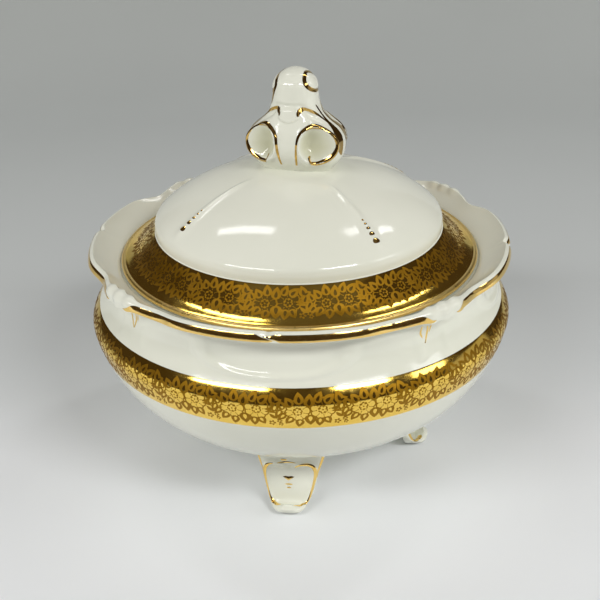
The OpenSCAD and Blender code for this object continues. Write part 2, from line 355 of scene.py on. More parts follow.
# Bowl with its scalloped rim: a notch in the middle of each lobe, three beads at each join
NOTCH_WIDE = 1.6
DIP_AT, DIP_WIDE = 31, 6
JOIN_AT, JOIN_WIDE, JOIN_IN = 45, 6, 0.8
BEADS, BEAD_WIDE, BEAD_FADE = ((-4.2, 1.5), (0, 1.9), (4.2, 1.5)), 1.9, 2.2
CREASE, CREASE_WIDE = 0.75, 0.9
N_OUT, N_LIP, N_IN = 14, 10, 18
N_UNDER, N_OVER = 34, 40


def from_notch(a):
    m = np.mod(a, QUARTER)
    return np.minimum(m, QUARTER - m)


def lip_shift(a):
    """How far the lip moves out at an angle."""
    t = from_notch(a)
    return (-SCALLOP * bump(t, DIP_AT, DIP_WIDE) - NOTCH * bump(t, 0, NOTCH_WIDE)
            - JOIN_IN * bump(t, JOIN_AT, JOIN_WIDE))


def beads(a):
    """Swelling of the lip where three beads sit at each join of the lobes."""
    t = np.mod(a, QUARTER) - JOIN_AT
    return sum(h * bump(t, c, BEAD_WIDE) for c, h in BEADS)


def rim_points(a):
    """Rim section at each angle: outside of the flare, round the lip, inside of the flare."""
    d = lip_shift(a)
    lip = np.stack([RIM_R + d, RIM_Z - 1.8 + 0.5 * d], -1)

    def at(x, z):
        return lip + np.array([x, z])

    def fix(x, z):
        return np.broadcast_to(np.array([x, z]), lip.shape)

    def run(p, n, last=0):
        return np.stack([bez(p, np.full(a.shape, x)) for x in np.arange(n + last) / n], 1)

    low, high = at(-0.25, -2.9), at(-3.2, 1.3)
    inside = NECK_R - NECK_WALL
    out = [fix(*JOINT), fix(NECK_R + 0.9, JOINT_Z + 3.6), at(-0.52 * FLARE, -5.6), low]
    lips = [low, at(-0.4, -1.7), at(-1.2, 1.6), high]
    inn = [high, at(-0.95 * FLARE, -4.2), fix(inside + 1.3, SHELF_Z + 2.2), fix(inside + 0.1, SHELF_Z + 0.1)]
    pts = np.concatenate([run(out, N_OUT), run(lips, N_LIP), run(inn, N_IN, 1)], 1)
    # The beads swell away from the middle of the lip
    k = np.arange(pts.shape[1])
    mid = N_OUT + 0.5 * N_LIP
    near = np.exp(-(np.clip(abs(k - mid) - 0.5 * N_LIP, 0, None) / BEAD_FADE) ** 2)
    q = pts - at(-1.5, -0.2)[:, None]
    q = q / (np.linalg.norm(q, axis=2, keepdims=True) + TINY)
    pts = pts + q * (beads(a)[:, None] * near)[..., None]
    # A crease runs down inside each notch
    inward = smooth(k, mid + 10.5, mid + 2) * (k > mid)
    pts[..., 1] -= CREASE * bump(from_notch(a), 0, CREASE_WIDE)[:, None] * inward
    return pts


PANEL_Z, PANEL_RISE, RIDGE_RISE = 114.5, 0.8, 0.35


def neck_relief(a, z):
    """Soft moulding on the neck: a raised band round an oval panel under each notch, a ridge at each join."""
    u = from_notch(a)

    def oval_share(half_a, half_z, power=2.6):
        return (u / half_a) ** power + np.abs((z - PANEL_Z) / half_z) ** power

    ring = smooth(oval_share(22.6, 12.4), 1.18, 0.8) * smooth(oval_share(17.2, 10.2), 0.8, 1.3)
    ring = ring * smooth(z, 120, 115)
    ridge = bump(u, 40.4 - 0.03 * (z - 106.5) ** 2, 1.5) * smooth(z, 100.5, 103) * smooth(z, 114, 109)
    return PANEL_RISE * ring + RIDGE_RISE * ridge


def bowl_mesh():
    a = around(640)
    outside = np.vstack([[(AXIS_R, BASE_Z), (22, BASE_Z)], curve(UNDER, N_UNDER), curve(OVER, N_OVER)[1:]])
    shelf = [(NECK_R - NECK_WALL - 0.1, SHELF_Z), (SHELF_R + 0.5, SHELF_Z), (SHELF_R, SHELF_Z - 0.5),
             (SHELF_R, SHELF_Z - 3.2), (SHELF_R + 2.6, SHELF_Z - 6.2)]
    inside = np.vstack([shelf, bez_off(OVER, np.linspace(0.7, 0, 10), -WALL),
                        bez_off(UNDER, np.linspace(0.97, 0, 24), -WALL), [(AXIS_R, BASE_Z + WALL)]])
    one = np.ones((len(a), 1, 1))
    sec = np.concatenate([outside * one, rim_points(a), inside * one], 1)
    # The moulding runs from just above the widest line to halfway up the flare
    neck = slice(N_UNDER + 3, len(outside) + N_OUT // 2)
    sec[:, neck, 0] += neck_relief(a[:, None], sec[:, neck, 1])
    return grid(polar(a[:, None] + 0 * sec[..., 0], sec[..., 0], sec[..., 1]), close_u=True)


make("bowl_body", *bowl_mesh(), GLAZE, "dish", "glaze", 40, ("bowl",))


# Gilt line on the lip, in eight runs
RUN_END = 41.6


def rim_line(sign, k):
    """One run from a notch to the beads: cut on a slant at the notch, tapered at the beads."""
    t = np.linspace(0.3, RUN_END, 110)
    half = 2.75 * smooth(t, -0.6, 1.6) * smooth(t, RUN_END + 0.2, 37) ** 0.7 + 0.2
    mid = N_OUT + 3.25 - smooth(t, 36, RUN_END)
    rows = []
    for f in np.linspace(-1, 1, 9):
        a = QUARTER * k + sign * t - 1.6 * f * smooth(t, 6, 0.3)
        pts = rim_points(a)
        index = np.arange(pts.shape[1])
        r0, z0, r1, z1 = (np.array([np.interp(x + e, index, p[:, c]) for x, p in zip(mid + f * half, pts)])
                          for e in (0, 0.3) for c in (0, 1))
        dr, dz = r1 - r0, z1 - z0
        lift = (0.07 + 0.05 * (1 - f * f)) / (np.hypot(dr, dz) + TINY)
        rows.append(polar(a, r0 + lift * dz, z0 - lift * dr))
    p = np.stack(rows, 1)
    return grid(p if sign > 0 else p[::-1])


make("rim_gilt_lines", *join([rim_line(s, k) for k in range(4) for s in (1, -1)]), LINE, "dish", "gilding")


# Outside of the bowl as a surface of angle and height along the curve
UNDER_FINE = curve(UNDER, 200)
OUT_CURVE = np.vstack([UNDER_FINE, curve(OVER, 120)[1:], [JOINT]])
OUT_LEN = run_length(OUT_CURVE)
OUT_BELLY = OUT_LEN[len(UNDER_FINE) - 1]


def bowl_out(x, y):
    """Point on the outside of the bowl: x along the widest line, y up the curve from it."""
    r, z = (np.interp(y + OUT_BELLY, OUT_LEN, OUT_CURVE[:, k]) for k in (0, 1))
    return polar(np.degrees(x / BOWL_R), r, z)


# Lid: a dome with ribs, a flange that slopes and then spreads flat, a round edge and a skirt
EDGE_MID = np.array([LID_R - EDGE_R, SEAT_Z + EDGE_R])
EDGE_TOP, EDGE_END = 110, -20
SLOPE_TOP = np.array([DOME_R, DOME_FOOT])
SLOPE_END = SLOPE_TOP + (9.3, -9.3)
SPREAD_END = EDGE_MID + EDGE_R * circle(np.radians([EDGE_TOP]))[0]
SPREAD = points(SLOPE_END, SLOPE_END + (1.3, -1.3), SPREAD_END + (-3.2, 1.16), SPREAD_END)
DOME_CURVE = curve(DOME, 150)
RIB_RISE = 1.15


def rib_rise(a, r):
    """Height of the soft ribs on the dome."""
    side = np.radians(np.mod(a, QUARTER) - JOIN_AT) * r
    run = smooth(r, 24, 38) * smooth(r, 71.2, 66)
    return RIB_RISE * run * np.exp(-(np.abs(side) / (1.5 + 1.3 * smooth(r, 30, 66))) ** 1.7)


def dome_at(r, a):
    """Point on the dome by radius and angle, ribs included; the angle turns with the lid."""
    return polar(a + LID_TURN, r, np.interp(r, DOME_CURVE[:, 0], DOME_CURVE[:, 1]) + rib_rise(a, r))


def lid_turned(section, n, ribbed=0):
    """A section turned round the lid's axis; its first rows carry the ribs."""
    a, r = np.meshgrid(around(n), section[:, 0], indexing="ij")
    z = np.broadcast_to(section[:, 1], a.shape).copy()
    z[:, :ribbed] += rib_rise(a[:, :ribbed], r[:, :ribbed])
    return grid(polar(a + LID_TURN, r, z)[:, ::-1], close_u=True)


def lid_mesh():
    dome = curve(DOME, 64)
    slope = SLOPE_TOP + np.linspace(0, 1, 8)[1:-1, None] * (SLOPE_END - SLOPE_TOP)
    edge = EDGE_MID + EDGE_R * circle(np.radians(np.linspace(EDGE_TOP, -90, 18))[1:])
    low, inner = SEAT_Z - SKIRT_D, SKIRT_R - SKIRT_T
    skirt = [(SKIRT_R + 0.4, SEAT_Z), (SKIRT_R, SEAT_Z - 0.4), (SKIRT_R, low + 0.6), (SKIRT_R - 0.6, low),
             (inner + 0.6, low), (inner, low + 0.6), (inner, SEAT_Z + 3)]
    section = np.vstack([dome, curve(TURN, 12)[1:], slope, curve(SPREAD, 16), edge, skirt,
                         bez_off(TURN, np.linspace(1, 0, 6), LID_T),
                         bez_off(DOME, np.linspace(0.97, 0, 24), LID_T)])
    section[[0, -1], 0] = AXIS_R
    return lid_turned(section, 560, len(dome))


make("lid_body", *lid_mesh(), GLAZE, "lid", "glaze", 35, ("lid",))

FLANGE_R = 80.0
FLANGE = np.vstack([curve(SPREAD, 24)[::-1], SLOPE_TOP])
FLANGE_Y = run_length(FLANGE)
FLANGE_LEN = FLANGE_Y[-1]


def flange_at(x, y):
    """Point on the flange: x along its middle circle, y from its lower end up."""
    r, z = (np.interp(y, FLANGE_Y, FLANGE[:, k]) for k in (0, 1))
    return polar(np.degrees(x / FLANGE_R) + LID_TURN, r, z)


# Gilt bands: a polished ground with etched flowers and leaves laid on it
GROUND_LIFT, MOTIF_LIFT, LAYER_STEP, STRIP_STEP = 0.1, 0.13, 0.025, 0.012
ETCH, SHINE, SPOT = 0, 1, 2


def band(name, surf, radius, low, high, rows, body, node):
    """Polished ground, thinner at its two edges."""
    x, y = np.meshgrid(around(480, 2 * math.pi * radius), np.linspace(low, high, rows), indexing="ij")
    fade = np.minimum(1, np.minimum(y - low, high - y) / 0.25 + 0.15)
    v, f = grid(raised(surf, x, y, (GROUND_LIFT * fade)[..., None]), close_u=True)
    make(name, v, f, BRIGHT, body, "gilding", 60, (node,))


def tear(length, width, n=18):
    """Teardrop with its tip up, centred near its middle."""
    t = around(n, 2 * math.pi)
    x = 0.5 * width * np.sin(t) * np.sin(t / 2) ** 0.9 * 1.3
    return np.stack([-x, 0.5 * length * np.cos(t)], 1)


def lens(length, width, bend, n=9):
    """Slender leaf, bent to one side."""
    s = np.linspace(0, 1, n)
    w = 0.5 * width * np.sin(math.pi * s) ** 0.8
    x, y = bend * np.sin(math.pi * s), (s - 0.5) * length
    return np.vstack([np.stack([x + w, y], 1), np.stack([x - w, y], 1)[-2:0:-1]])


def star(r, k, inner, n, phase):
    """Star of n rays with k points to a ray."""
    a = np.radians(phase + np.arange(n * k) * 360 / (n * k))
    share = inner + (1 - inner) * np.abs(np.cos(0.5 * n * (a - math.radians(phase)))) ** 0.7
    return r * share[:, None] * circle(a)


class Motif:
    """Flat shapes of one repeat: polygons round a centre, each in a layer, and etched strips."""
    def __init__(self):
        self.fans, self.strips = [], []

    def fan(self, outline, at, layer):
        self.fans.append((outline + np.asarray(at), np.asarray(at, float), layer))

    def strip(self, path, width):
        self.strips.append(sides(path, width))

    def leaf(self, x, y, ang, length, width):
        length, width = 1.16 * length, 1.3 * width
        self.fan(turn(tear(length, width), ang), (x, y), ETCH)
        dx, dy = turn(np.array([[0.0, -0.12 * length]]), ang)[0]
        self.fan(turn(tear(0.5 * length, 0.34 * width), ang), (x + dx, y + dy), SHINE)

    def flower(self, x, y, r, phase, petals=8):
        c = np.array([x, y])
        a = np.radians(around(96) + phase)
        rim = r * (0.83 + 0.17 * np.abs(np.cos(0.5 * petals * (a - math.radians(phase)))) ** 0.55) + 0.2
        path = c + rim[:, None] * circle(a)
        self.strip(np.vstack([path, path[:2]]), 0.62)
        for d in circle(np.radians(phase + (np.arange(petals) + 0.5) * 360 / petals)):
            self.strip([c + d * s * r for s in (0.48, 0.66, 0.84)], [0.36, 0.14, 0.3])
        self.fan(star(0.42 * r, 6, 0.8, petals, phase), c, ETCH)
        self.fan(star(0.32 * r, 6, 0.5, 5, phase + 18), c, SHINE)
        self.fan(0.075 * r * circle(around(10, 2 * math.pi)), c, SPOT)


# One repeat, drawn 30 mm long: x, y, angle, length and width of each leaf, and the bend of the slender ones
DRAWN_PITCH = 30.0
FLOWERS = ((-5.7, -0.4, 5.4, 8), (5.7, 0.4, 5.4, 30))
HANGING = ((-9.6, -5.3, 142, 4.6, 3.0), (-4.9, -7.0, 168, 4.4, 3.1), (0.1, -5.2, 182, 5.6, 4.0),
           (4.4, -6.5, 176, 4.8, 3.2), (8.2, -5.8, 208, 4.2, 3.0))
STANDING = ((-9.8, 5.2, 38, 4.4, 3.0), (-5.2, 7.3, 8, 4.8, 3.4), (-0.4, 6.0, -6, 5.2, 3.6),
            (4.0, 7.7, -28, 4.8, 3.0), (8.8, 6.6, -52, 5.0, 3.2), (13.0, 7.2, 20, 4.6, 3.2))
SPRAY = ((12.0, 1.6, -66, 5.4, 1.5, 0.5), (12.2, -0.8, -96, 5.2, 1.4, -0.4), (13.0, 3.9, -40, 5.0, 1.6, 0.6),
         (13.6, -3.0, -124, 5.0, 1.7, 0.5), (17.6, 2.8, 62, 4.6, 1.5, 0.5), (17.4, -1.2, 104, 4.6, 1.4, -0.4))
STEMS = (([(10.4, 0.4), (13.0, 0.9), (16.0, 0.6), (19.0, -0.6)], 0.26),
         ([(14.6, 0.8), (15.2, 3.2), (14.6, 5.4)], 0.24))
BLOSSOMS = ((12.6, -6.9, 1.7), (16.0, -5.6, 1.35), (-13.4, -7.6, 1.2))
SINGLE = (15.2, 5.6, -70, 3.6, 2.3)
BETWEEN = ((14.4, 2.6, -18, 5.0, 2.6), (15.6, -1.6, 152, 4.6, 2.4), (-13.2, 3.0, 30, 4.2, 2.4),
           (-13.0, -3.4, 140, 4.4, 2.6))


def unit(pitch, up, down):
    """One repeat, fitted to a pitch and to the height of a band above and below its middle."""
    m = Motif()
    s = pitch / DRAWN_PITCH
    for x, y, r, phase in FLOWERS:
        m.flower(x * s, y, r, phase)
    for x, y, *leaf in HANGING:
        m.leaf(x * s, y * down, *leaf)
    for x, y, *leaf in STANDING:
        m.leaf(x * s, y * up, *leaf)
    for x, y, ang, *size in SPRAY:
        m.fan(turn(lens(*size), ang), (x * s, y), ETCH)
    for path, width in STEMS:
        m.strip([(x * s, y) for x, y in path], width)
    for x, y, r in BLOSSOMS:
        m.fan(star(r, 6, 0.38, 5, 70), (x * s, y * down), ETCH)
        m.fan(star(0.4 * r, 4, 0.6, 5, 30), (x * s, y * down), SHINE)
    x, y, *leaf = SINGLE
    m.leaf(x * s, y * up, *leaf)
    for x, y, *leaf in BETWEEN:
        m.leaf(x * s, y, *leaf)
    return m


def lay(m, surf, pitch, count, start, y_mid, name, body):
    """Repeats one unit round a band and makes one mesh for each finish."""
    layers = {ETCH: [], SHINE: [], SPOT: []}
    for k in range(count):
        off = np.array([(k + start * count / 360) * pitch, y_mid])
        for outline, at, layer in m.fans:
            o, c = outline + off, at + off
            q = np.vstack([o, c + 0.5 * (o - c), c[None]])
            h = len(o)
            ring = [(j, (j + 1) % h) for j in range(h)]
            faces = [(a, b, h + b, h + a) for a, b in ring] + [(h + a, h + b, 2 * h) for a, b in ring]
            layers[layer].append((raised(surf, q[:, 0], q[:, 1], MOTIF_LIFT + LAYER_STEP * layer), faces))
        for left, right in m.strips:
            q = np.stack([right + off, left + off], 1)
            layers[ETCH].append(grid(raised(surf, q[..., 0], q[..., 1], MOTIF_LIFT + STRIP_STEP)))
    make(name + "_etched", *join(layers[ETCH] + layers[SPOT]), ETCHED, body, "gilding")
    make(name + "_bright", *join(layers[SHINE]), BRIGHT, body, "gilding")


BOWL_REPEATS, LID_REPEATS = 23, 18
band("bowl_gold_band", bowl_out, BOWL_R, -11.5, 9.9, 24, "dish", "bowl_gilt_band")
bowl_pitch = 2 * math.pi * BOWL_R / BOWL_REPEATS
lay(unit(bowl_pitch, 0.8, 1.06), bowl_out, bowl_pitch, BOWL_REPEATS, 9.4, -0.3, "bowl_band", "dish")

band("lid_gold_band", flange_at, FLANGE_R, 0.05, 0.97 * FLANGE_LEN, 30, "lid", "lid_gilt_band")
lid_pitch = 2 * math.pi * FLANGE_R / LID_REPEATS
lay(unit(lid_pitch, 0.8, 0.84), flange_at, lid_pitch, LID_REPEATS, 4.4, FLANGE_LEN - 9.4, "lid_band", "lid")

# Plain gilt line round the lid's edge
edge_arc = circle(np.radians(np.linspace(EDGE_TOP + 5, EDGE_END, 20)))
make("lid_gold_edge", *lid_turned(EDGE_MID + (EDGE_R + 0.11) * edge_arc, 480), SATIN, "lid", "gilding", 60,
     ("lid_gilt_edge",))

# Gilt dots down each rib: radius, length and width
DOTS = ((65.2, 3.6, 2.9), (61.8, 2.9, 2.2), (59.0, 2.2, 1.6), (56.7, 1.5, 1.3), (54.6, 1.2, 1.1))
dots = [patch(dome_at, (r, JOIN_AT + QUARTER * k), oval(w, h), 0.05, 0.12) for k in range(4) for r, h, w in DOTS]
make("lid_gold_dots", *join(dots), LINE, "lid", "gilding")


# Knob: height share, and shares of the width and depth
KNOB = cat([(-0.08, 0.66, 0.56), (0, 0.78, 0.64), (0.09, 0.93, 0.82), (0.19, 0.985, 0.95), (0.3, 0.97, 0.98),
            (0.39, 0.87, 0.92), (0.47, 0.68, 0.83), (0.55, 0.54, 0.74), (0.65, 0.465, 0.66), (0.76, 0.435, 0.63),
            (0.87, 0.385, 0.565), (0.945, 0.28, 0.41), (0.985, 0.15, 0.22), (1, 0.03, 0.04)], 10)
KNOB_POWER = 2.3
EYE_H = 0.865


def knob_fold(a):
    """Angle from the nearer of the knob's front and back."""
    m = np.mod(a, 180)
    return np.minimum(m, 180 - m)


def knob_far(t, h):
    """How far from the middle of a scroll hollow, 1 at its edge."""
    return np.hypot((t - 44) / 25, (h - 0.285) / 0.182)


def knob_face(a, h):
    """Relief of the knob."""
    t = knob_fold(a)
    q = knob_far(t, h)
    hollow = np.where(q < 1, 1.7 * HOLLOW * (1 - q * q) * (1 - 0.3 * q * q), 0)
    ridge = 1.1 * bump(q, 1.06, 0.13)
    pocket = 2.2 * bump(t, 46, 17) * bump(h, 0.575 - 0.0035 * (t - 46), 0.045)
    crease = 0.7 * bump(h, 0.665, 0.022) * bump(t, 0, 34)
    # Tongue over the strap, bead in each curl, raised eye of the scroll at the side
    low = 0.495 + 0.0001 * t * t
    tongue = 0.9 * smooth(h, low, low + 0.03) * smooth(h, 0.66, 0.62) * smooth(t, 24, 17)
    nub = 1.5 * bump(np.hypot((t - 33.5) / 8, (h - 0.15) / 0.055), 0, 0.75)
    from_eye = np.hypot((np.mod(a, 180) - 90 - 130 * (EYE_H - h)) / 40, (h - EYE_H) / 0.09)
    eye = 0.6 * smooth(from_eye, 1.05, 0.6)
    return ridge - hollow - pocket - crease + eye + tongue + nub


def knob_at(a, h):
    """Point on the knob by angle from its front and height share."""
    half_w = np.interp(h, KNOB[:, 0], KNOB[:, 1]) * KNOB_W / 2
    half_d = np.interp(h, KNOB[:, 0], KNOB[:, 2]) * KNOB_D / 2
    t = np.radians(a)
    r = ((np.abs(np.sin(t)) / half_w) ** KNOB_POWER
         + (np.abs(np.cos(t)) / half_d) ** KNOB_POWER) ** (-1 / KNOB_POWER)
    r = np.maximum(0.5 * r, r + knob_face(a, h))
    return polar(a + LID_TURN + KNOB_TURN, r, TOP_Z + KNOB_H * h)


def knob_mesh():
    """Vertices and faces of the knob, and the painted shade of its hollows at each vertex."""
    h = np.concatenate([np.linspace(-0.06, 0.9, 150)[:-1], 1 - 0.1 * (1 - np.linspace(0, 1, 24)) ** 2])
    a, h = np.meshgrid(around(240), h, indexing="ij")
    v, f = grid(knob_at(a, h), close_u=True)
    n, m = a.shape
    cap = [(i * m + m - 1, (i + 1) % n * m + m - 1, len(v)) for i in range(n)]
    # Painted shade, strongest in the middle of each scroll hollow
    hollow_shade = np.clip(1 - knob_far(knob_fold(a), h) ** 4, 0, 1)
    return np.vstack([v, [(0, 0, TOP_Z + KNOB_H)]]), [*f, *cap], np.append(hollow_shade, 0)


knob_v, knob_f, knob_hollow_shade = knob_mesh()
knob = make("knob_body", knob_v, knob_f, GLAZE, "lid", "glaze", 50, ("knob",))
# Painted shade in the scroll hollows, which darkens the glaze
knob.data.attributes.new("hollow_shade", "FLOAT", "POINT").data.foreach_set("value", knob_hollow_shade)

# Gilt strokes of one quarter of the knob as (angle, height share), each with its widths from end to end:
# the C-scroll round a hollow, the hook under the neck with its tail, and the line that ends in a broad stroke
KNOB_STROKES = (
    ([(15, 0.07), (14.5, 0.2), (15.5, 0.32), (19.5, 0.4), (29, 0.455), (43, 0.475), (57, 0.455), (65, 0.41),
      (69.2, 0.34), (69.2, 0.26), (65, 0.185), (58, 0.13), (49, 0.1), (41, 0.1), (35.5, 0.125), (35, 0.16),
      (38, 0.172)],
     [0.7, 1.0, 1.2, 1.5, 1.9, 2.0, 1.8, 1.5, 1.3, 1.6, 1.9, 1.7, 1.3, 1.2, 0.6]),
    ([(21, 0.572), (20, 0.59), (23, 0.613), (33, 0.628), (48, 0.612), (66, 0.56), (77, 0.495), (80.5, 0.43),
      (78, 0.37), (75.5, 0.33)],
     [0.9, 1.6, 1.9, 1.5, 1.1, 0.9, 0.8, 0.8, 0.4]),
    ([(70, 0.645), (77, 0.6), (82, 0.54), (82, 0.47), (80, 0.41), (78, 0.35), (77, 0.28), (78, 0.21), (81, 0.14)],
     [0.5, 0.9, 1.1, 1.8, 3.4, 5.4, 5.6, 3.8, 0.6]))
EYE_TAIL = ([(-46.5, 0.815), (-49, 0.77), (-54, 0.705), (-61, 0.65)], [1.9, 1.8, 1.4, 0.4])
EYE_RING = ([(45 * x - 12 * y, EYE_H + 0.095 * y) for x, y in circle(np.radians(np.arange(0, 361, 10)))],
            [1.9, 1.2, 1.9, 1.2, 1.9])


def knob_line(stroke, centre, sign=1, n=12):
    path, width = stroke
    p = cat([(centre + sign * a, h) for a, h in path], n)
    return ribbon(knob_at, p, 1.2 * spread(width, len(p)), 0.07, 0.03, 5)


def knob_gilding():
    parts = []
    for half in (0, 180):
        parts += [knob_line(stroke, half, sign) for sign in (1, -1) for stroke in KNOB_STROKES]
        parts.append(knob_line(EYE_TAIL, half))
    return join(parts + [knob_line(EYE_RING, side, n=3) for side in (90, 270)])


# The knob's strokes take the darker gold, which is painted shade
make("knob_gold_lines", *knob_gilding(), KNOB_SHADED_GOLD, "lid", "gilding", 70)


# Feet: the path down a foot and out along its toe, with shares of the width and thickness
FOOT_STEPS, BEND = 24, 5
FOOT_START = 10  # first step of the path that is drawn, inside the bowl's wall
FOOT_PATH = cat([(FOOT_R + p * BASE_Z, q * BASE_Z) for p, q in (
    (-0.34, 1.225), (-0.27, 0.945), (-0.2, 0.66), (-0.147, 0.44), (-0.09, 0.225), (0, 0.064), (0.11, 0.102),
    (0.192, 0.135), (0.225, 0.19))], FOOT_STEPS)
FOOT_SIZE = cat([(1.06, 1.15), (1, 1.1), (0.67, 1), (0.515, 0.95), (0.345, 0.93), (0.2, 0.92), (0.03, 0.78),
                 (-0.17, 0.64), (-0.5, 0.45)], FOOT_STEPS)
FOOT_WIDE = TOE_W + FOOT_SIZE[:, 0] * (FOOT_W - TOE_W)
FOOT_THICK = FOOT_T * FOOT_SIZE[:, 1]
# The shield on a foot's outward face, as half its border and the curls on its toe: x sideways, y up from the bend
BORDER = [(2.6, 18.3), (5.0, 19.7), (8.6, 20.4), (11.7, 19.2), (13.1, 16.2), (12.8, 12.2), (11.9, 8.0),
          (11.0, 4.7), (10.2, 2.2)]
RIGHT_CURL = [(9.1, 0.2), (7.3, -1.9), (5.2, -4.0), (2.9, -4.8)]
LEFT_CURL = [(8.9, 0.2), (7.2, -1.5), (6.0, -2.7), (4.9, -3.5), (3.9, -3.7)]
SHIELD = cat(BORDER + RIGHT_CURL[:2], 6)
SHIELD_DEEP, SHIELD_RIDGE, SHIELD_BOSS = 2.3, 1.0, 0.55
TOE_RISE, TOE_HALF = 2.7, 6.9


def soften(p, n=65):
    """Rounds off a row of points, its ends kept."""
    k = np.hanning(n + 2)[1:-1]
    q = np.pad(p, ((n // 2, n // 2), (0, 0)), mode="reflect", reflect_type="odd")
    return np.stack([np.convolve(q[:, i], k / k.sum(), "valid") for i in (0, 1)], 1)


def normals(p):
    """Unit normals of a row of points, to the left of its direction."""
    d = np.gradient(p, axis=0)
    return np.stack([-d[:, 1], d[:, 0]], 1) / np.linalg.norm(d, axis=1, keepdims=True)


FOOT_HALF = normals(FOOT_PATH) * 0.5 * FOOT_THICK[:, None]
FOOT_FRONT, FOOT_BACK = soften(FOOT_PATH + FOOT_HALF), FOOT_PATH - FOOT_HALF
FOOT_OUT = normals(FOOT_FRONT)
FOOT_DOWN = run_length(FOOT_FRONT)
FOOT_Y = FOOT_DOWN[BEND * FOOT_STEPS] - FOOT_DOWN


def along(y, rows):
    """Values of a row of the foot's path at heights y from the bend."""
    return np.interp(y, FOOT_Y[::-1], rows[::-1])


def foot_face(x, y):
    """Relief of the outward face: a shallow shield with a raised scroll border."""
    d = np.min([np.hypot(np.abs(x) - px, y - py) for px, py in SHIELD], axis=0)
    ridge = SHIELD_RIDGE * bump(d, 0, 1.3)
    wide = 8.0 + 4.6 * smooth(y, -4, 15)
    dish = SHIELD_DEEP * np.clip(1 - (x / wide) ** 2, 0, 1) * smooth(y, -5, 2) * smooth(y, 21, 16)
    boss = SHIELD_BOSS * bump(np.hypot((x + 0.6) / 1.6, y - 10.0), 0, 2.8)
    return ridge - dish + boss


def foot_at(x, y, back=False):
    """Point on a foot that faces the front: x sideways, y up its outward face from the bend."""
    def pair(rows):
        return np.stack([along(y, rows[:, 0]), along(y, rows[:, 1])], -1)

    u = np.clip(np.abs(x) / (0.5 * along(y, FOOT_WIDE)), 0, 1)
    edge = np.sqrt(np.clip(1 - u**4, 0, 1))
    mid = pair(FOOT_PATH)
    p = mid + (pair(FOOT_BACK if back else FOOT_FRONT) - mid) * edge[..., None]
    if not back:
        depth = foot_face(x, y) * np.clip(edge * 1.6, 0, 1) * np.minimum(1, along(y, FOOT_THICK) / 5)
        p = p + pair(FOOT_OUT) * depth[..., None]
    # The toe is round where it meets the table
    floor = TOE_RISE * (np.abs(x) / TOE_HALF) ** 2
    z = 0.5 * (p[..., 1] + floor + np.sqrt((p[..., 1] - floor) ** 2 + (0.3 * floor) ** 2))
    return np.stack([x + 0 * z, -p[..., 0], np.maximum(z, 0.0)], -1)


def foot_mesh():
    end = FOOT_Y[-1]
    share = -np.cos(np.linspace(0, math.pi, 45)) * 0.9999
    rows = []
    for y in np.append(np.linspace(FOOT_Y[FOOT_START], 0.98 * end, 110), (0.99 * end, end)):
        x = share * 0.5 * along(y, FOOT_WIDE)
        rows.append(np.vstack([foot_at(x, y + 0 * x), foot_at(x[::-1], y + 0 * x, True)[1:-1]]))
    p = np.stack(rows)
    v, f = grid(p, close_v=True)
    n, m = p.shape[:2]
    return v, [*f, range(m - 1, -1, -1), range((n - 1) * m, n * m)]


# Gilding of a foot: two lines down each side, marks and a stroke across the shield
SIDE_LINES = ((1, BORDER + RIGHT_CURL, [0.5, 1.0, 1.5, 1.9, 1.7, 1.4, 1.2, 1.1, 1.1, 1.1, 1.2, 1.3, 0.6]),
              (-1, BORDER[2:] + LEFT_CURL, [0.4, 1.6, 1.8, 1.4, 1.2, 1.1, 1.2, 1.7, 2.2, 2.5, 2.5, 1.6]))
EDGE_LINE = ([(17.2, 28), (16.6, 23.5), (15.4, 19.6), (14.3, 16.2), (13.6, 12.6)], [0.9, 1.3, 1.2, 0.9, 0.4])
CROSS_LINE = ([(-6.4, 20.6), (-3, 21.0), (0, 21.1), (3, 20.8)], [0.3, 0.8, 0.7, 0.3])
SMILE = np.array([(-3.0, 0.7), (-1.5, 1.0), (0, 0.8), (1.5, 1.0), (3.0, 0.7), (1.5, -0.4), (0, -1.4),
                  (-1.5, -0.4)])
MARKS = (((-0.9, 11.6), SMILE, 0.08), ((-0.7, 8.3), oval(4.0, 0.9), 0.06), ((-0.7, 6.4), oval(2.4, 0.8), 0.06),
         ((-3.2, 22.3), oval(3.4, 1.0), 0.06))
FOOT_LIFT, FOOT_CROWN = 0.06, 0.24


def foot_line(path, width, sign=1):
    """Gilt line with its width measured on the unrolled foot, so that it stays even in the bend of the toe."""
    p = cat([(sign * x, y) for x, y in path], 10)
    left, right = sides(p, spread(width, len(p)))
    rows = []
    for k in np.linspace(0, 1, 5):
        q = right + k * (left - right)
        rows.append(raised(foot_at, q[:, 0], q[:, 1], FOOT_LIFT + FOOT_CROWN * k * (1 - k)))
    return grid(np.stack(rows, 1))


def foot_gilding():
    parts = []
    for sign, path, width in SIDE_LINES:
        parts += [foot_line(path, width, sign), foot_line(*EDGE_LINE, sign)]
    parts += [patch(foot_at, centre, shape, FOOT_LIFT, crown) for centre, shape, crown in MARKS]
    return join(parts + [foot_line(*CROSS_LINE)])


def spin(v, deg):
    """Points turned about the dish's axis."""
    return np.column_stack([turn(v[:, :2], deg), v[:, 2]])


foot_v, foot_f = foot_mesh()
gilt_v, gilt_f = foot_gilding()
for name, deg in (("front", 0), ("right", 97), ("back", 180), ("left", 263)):
    make("foot_%s_body" % name, spin(foot_v, deg), foot_f, GLAZE, "dish", "glaze", 50, ("foot_" + name,))
    make("foot_%s_gold" % name, spin(gilt_v, deg), gilt_f, LINE, "dish", "gilding", 70)


